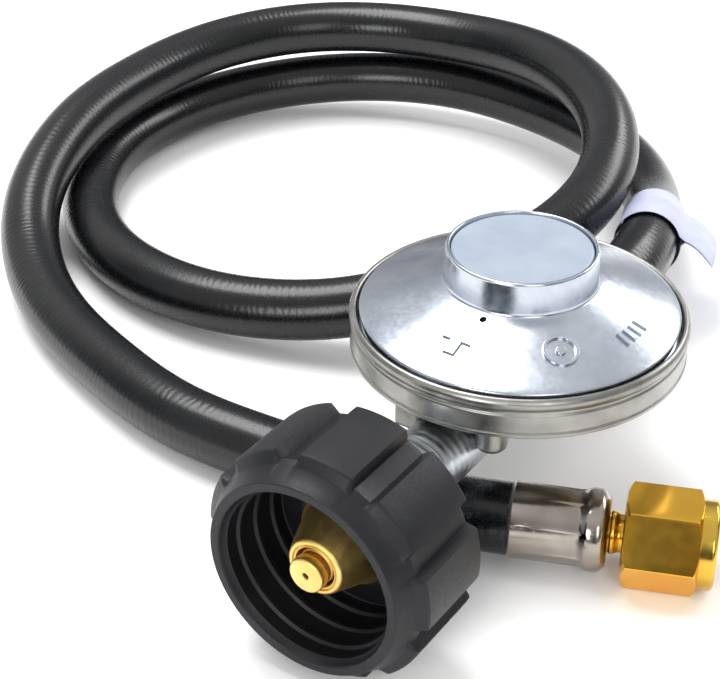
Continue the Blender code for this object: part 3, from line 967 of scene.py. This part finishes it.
def makeHousing():
    bowl = [
        (0, 19.6, 0),
        (12.5, 19.6, 1.0),
        (27.0, 35.5, 0.5),
        (32.7, 35.5, 0.2),
        (32.7, 38.2, 0.2),
        (32.15, 38.25, 0.1),
        (32.15, 39.7, 0.5),
        (32.6, 40.4, 0.5),
        (33.2, 40.4, 0.7),
        (33.85, 39.6, 0.6),
        (33.85, 38.7, 0.5),
        (33.4, 38.0, 0.3),
        (33.15, 37.7, 0.2),
        (33.15, 37.15, 0.2),
        (33.5, 36.8, 0.3),
        (33.5, 33.2, 0.2),
        (33.35, 33.0, 0.1),
        (33.65, 32.75, 0.15),
        (33.65, 32.1, 0.25),
        (33.2, 31.9, 0.2),
        (28.0, 31.9, 1.5),
        (15.0, 18.9, 2.0),
        (11.0, 17.0, 0.8),
        (0, 17.0, 0),
    ]
    housing = spun("housing", bowl, upHousing, "castZinc", "regulator", "zinc", "regulator_body", steps=192)
    # gas way in, gas way out and the bore of the inlet boss: radius, from and to along Y
    for radius, start, end in ((3.5, -27.5, 4.0), (4.4, 26.0, 43.5), (6.9, -39.6, -26.5)):
        boolean(housing, cutterFrom(roundBar(radius, (0, start, portZ), (0, end, portZ))))
    bossOutline = [
        (6.9, -38.6, 0),
        (9.4, -38.6, 0.3),
        (9.7, -38.0, 0.2),
        (9.7, -36.6, 0.3),
        (9.35, -36.3, 0.2),
        (9.35, -35.6, 0.2),
        (9.9, -35.2, 0.3),
        (9.9, -33.8, 0.3),
        (9.55, -33.4, 0.2),
        (9.55, -32.8, 0.2),
        (10.4, -31.8, 0.8),
        (10.4, -28.9, 0.9),
        (9.6, -27.5, 0.8),
        (8.4, -26.4, 0.6),
        (8.4, -24.5, 0.8),
        (7.0, -24.5, 0.3),
        (7.0, -3.0, 0.2),
        (3.5, -2.6, 0),
        (3.5, -26.4, 0),
        (6.9, -26.6, 0),
    ]
    spun("inletBoss", bossOutline, alongPort, "turnedZinc", "regulator", "zinc")
    outlet = [(7.6, 31.0, 0), (7.6, 41.9, 0.4), (7.0, 42.5, 0.3), (4.4, 42.5, 0), (4.4, 31.0, 0)]
    spun("outletBoss", outlet, alongPort, "castZinc", "regulator", "zinc")


def makeCastBlock(name, low, high, corner=0.6):
    edit = bmesh.new()
    size = [(b - a) * mm for a, b in zip(low, high)]
    centre = [(a + b) / 2 * mm for a, b in zip(low, high)]
    bmesh.ops.create_cube(edit, size=1.0)
    bmesh.ops.scale(edit, vec=size, verts=edit.verts)
    bmesh.ops.translate(edit, vec=centre, verts=edit.verts)
    bmesh.ops.bevel(
        edit, geom=edit.edges[:], offset=corner * mm, segments=3, affect="EDGES", profile=0.5, material=-1
    )
    return finishPiece(edit, name, "castZinc", "regulator", "zinc", angle=12)


def makeCastDetails():
    makeCastBlock("flatBlock", (-11, -15.0, 24.5), (-5, 2, 31.8), 0.9)
    makeCastBlock("guideBlock", (-5, 8.5, 19.2), (5, 19, 26.1))
    makeCastBlock("leverEarLeft", (-6, 20, 19.2), (-4, 25, 30.5), 0.4)
    makeCastBlock("leverEarRight", (4, 20, 19.2), (6, 25, 30.5), 0.4)
    stud = [(0, 33.5, 0), (3.2, 33.5, 0), (3.2, 25.4, 0.9), (2.4, 24.5, 0.6), (0, 24.5, 0)]
    place = Matrix.Translation((8.6 * mm, -11.0 * mm, 0))
    spun("castStud", stud, place, "castZinc", "regulator", "zinc", steps=48)


lidSet = {
    "towerTop": 54.1,
    "tower": 15.05,
    "lid": 31.9,
    "vent": 0.7,  # radius of the breathing hole
    "ventAt": (1.2, -2.9),
}


def makeLid():
    top = lidSet["towerTop"]
    lid = [
        (14.15, 53.3, 0.1),
        (14.25, top - 0.15, 0.15),
        (14.4, top, 0.1),
        (14.8, top, 0.2),
        (lidSet["tower"], top - 0.4, 0.3),
        (15.2, 47.6, 0.4),
        (15.4, 47.05, 0.3),
        (16.4, 46.6, 0.5),
        (30.9, 41.15, 0.8),
        (31.75, 40.75, 0.3),
        (lidSet["lid"], 40.4, 0.2),
        (31.75, 40.0, 0.2),
        (31.2, 39.6, 0.2),
        (31.2, 38.2, 0.1),
        (32.4, 37.9, 0.2),
        (32.4, 37.2, 0.2),
        (27.4, 37.2, 0.3),
        (27.4, 40.1, 0.8),
        (15.6, 45.1, 0.8),
        (12.4, 46.2, 0.3),
        (12.4, 52.3, 0.1),
        (14.15, 52.3, 0.1),
    ]
    piece = spun("lid", lid, upHousing, "platedLid", "regulator", "plated_steel", "bonnet", steps=192)
    x, y = lidSet["ventAt"]
    boolean(piece, cutterFrom(roundBar(lidSet["vent"], (x, y, 43), (x, y, 49.5), 32)))
    cap = [
        (0, 53.75, 0),
        (13.4, 53.75, 0.5),
        (13.85, 53.6, 0.2),
        (14.0, 53.3, 0.2),
        (14.0, 52.6, 0.1),
        (0, 52.6, 0),
    ]
    spun("closingCap", cap, upHousing, "capPlastic", "regulator", "cap_plastic", "closing_cap", steps=96)


markSet = {
    "slope": (16.4, 46.6, 30.9, 41.15),  # radius and height at the top and the foot of the cone
    "sink": 0.15,
    "height": 0.5,
    "arrow": (-92.0, 23.0),  # turn from +X in degrees, distance from the axis
    "ring": (-42.0, 23.0),
    "bars": (-10.0, 25.0),
}


def onCone(turnAndReach):
    # a frame on the cone: X down the slope, Z off the surface
    degrees, reach = turnAndReach
    topR, topZ, footR, footZ = markSet["slope"]
    height = topZ + (reach - topR) * (footZ - topZ) / (footR - topR)
    lean = math.atan2(topZ - footZ, footR - topR)
    spin = Matrix.Rotation(math.radians(degrees), 4, "Z")
    tip = Matrix.Translation((reach * mm, 0, height * mm)) @ Matrix.Rotation(lean, 4, "Y")
    return upHousing @ spin @ tip


def raisedMark(name, outline, place):
    edit = bmesh.new()
    face = edit.faces.new([edit.verts.new((x * mm, y * mm, -markSet["sink"] * mm)) for x, y in outline])
    grown = bmesh.ops.extrude_face_region(edit, geom=[face])["geom"]
    top = [item for item in grown if isinstance(item, bmesh.types.BMVert)]
    bmesh.ops.translate(edit, vec=(0, 0, (markSet["sink"] + markSet["height"]) * mm), verts=top)
    bmesh.ops.recalc_face_normals(edit, faces=edit.faces)
    rim = [edge for edge in edit.edges if all(vert in top for vert in edge.verts)]
    bmesh.ops.bevel(edit, geom=rim, offset=0.1 * mm, segments=2, affect="EDGES", profile=0.5, material=-1)
    bmesh.ops.transform(edit, matrix=place, verts=edit.verts)
    return finishPiece(edit, name, "platedLid", "regulator", "plated_steel", angle=20)


def makeMarks():
    # plain raised signs: an arrow, a ring round a dot and four bars
    arrow = [(-3.4, 0), (0.2, 3.2), (0.2, 1.2), (3.4, 1.2), (3.4, -1.2), (0.2, -1.2), (0.2, -3.2)]
    raisedMark("flowArrow", arrow, onCone(markSet["arrow"]))
    outer, inner, low, high = 3.5, 2.8, -markSet["sink"], markSet["height"]
    ring = [(inner, low, 0), (outer, low, 0), (outer, high, 0.1), (inner, high, 0.1)]
    spun("raisedRing", ring, onCone(markSet["ring"]), "platedLid", "regulator", "plated_steel", steps=64)
    dot = [(0, low, 0), (1.0, low, 0), (1.0, high, 0.15), (0, high, 0)]
    spun("raisedDot", dot, onCone(markSet["ring"]), "platedLid", "regulator", "plated_steel", steps=32)
    degrees, reach = markSet["bars"]
    bar = [(-1.6, -0.3), (1.6, -0.3), (1.6, 0.3), (-1.6, 0.3)]
    for index in range(4):
        raisedMark(f"raisedBar{index + 1}", bar, onCone((degrees + index * 5, reach)))


keptLooks = {
    "adjusting_nut": "acetal",
    "spring_plate": "platedSteel",
    "main_spring": "platedSteel",
    "diaphragm": "nitrile",
    "upper_diaphragm_plate": "platedSteel",
    "lower_diaphragm_plate": "platedSteel",
    "relief_stem": "platedSteel",
    "relief_spring": "platedSteel",
    "relief_nut": "turnedBrassFar",
    "lever": "platedSteel",
    "lever_pin": "platedSteel",
    "valve_plunger": "acetal",
    "seat_disc": "nitrile",
    "inlet_orifice": "turnedBrass",
    "flow_limiter_spring": "platedSteel",
    "outlet_barb": "turnedBrass",
}


def dressKept():
    for name, look in keptLooks.items():
        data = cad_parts[name].data
        data.materials.clear()
        data.materials.append(materials[look])


makeCamera()
makeLights()
makeWorld()
makeFloor()
materials = makeMaterials()
print("materials made")
hose, routePoints, routeLengths = makeHose()
label = makeLabel(routePoints, routeLengths)
print("hose made")
makeFerrule("outletFerrule", alongPort, -1, 62.0, "drawnStainlessNear", "outlet_ferrule")
farFerrule = makeFerrule(
    "farFerrule",
    alongFar,
    1,
    0.0,
    "drawnStainless",
    "far_ferrule",
    phase=math.radians(30),
    holeTurn=math.radians(-116),
)
farStem = makeFarStem()
makeFlareNut()
print("fittings made")
makeHandNut()
makeInlet()
print("inlet made")
makeHousing()
makeCastDetails()
makeLid()
makeMarks()
dressKept()
print("regulator made")
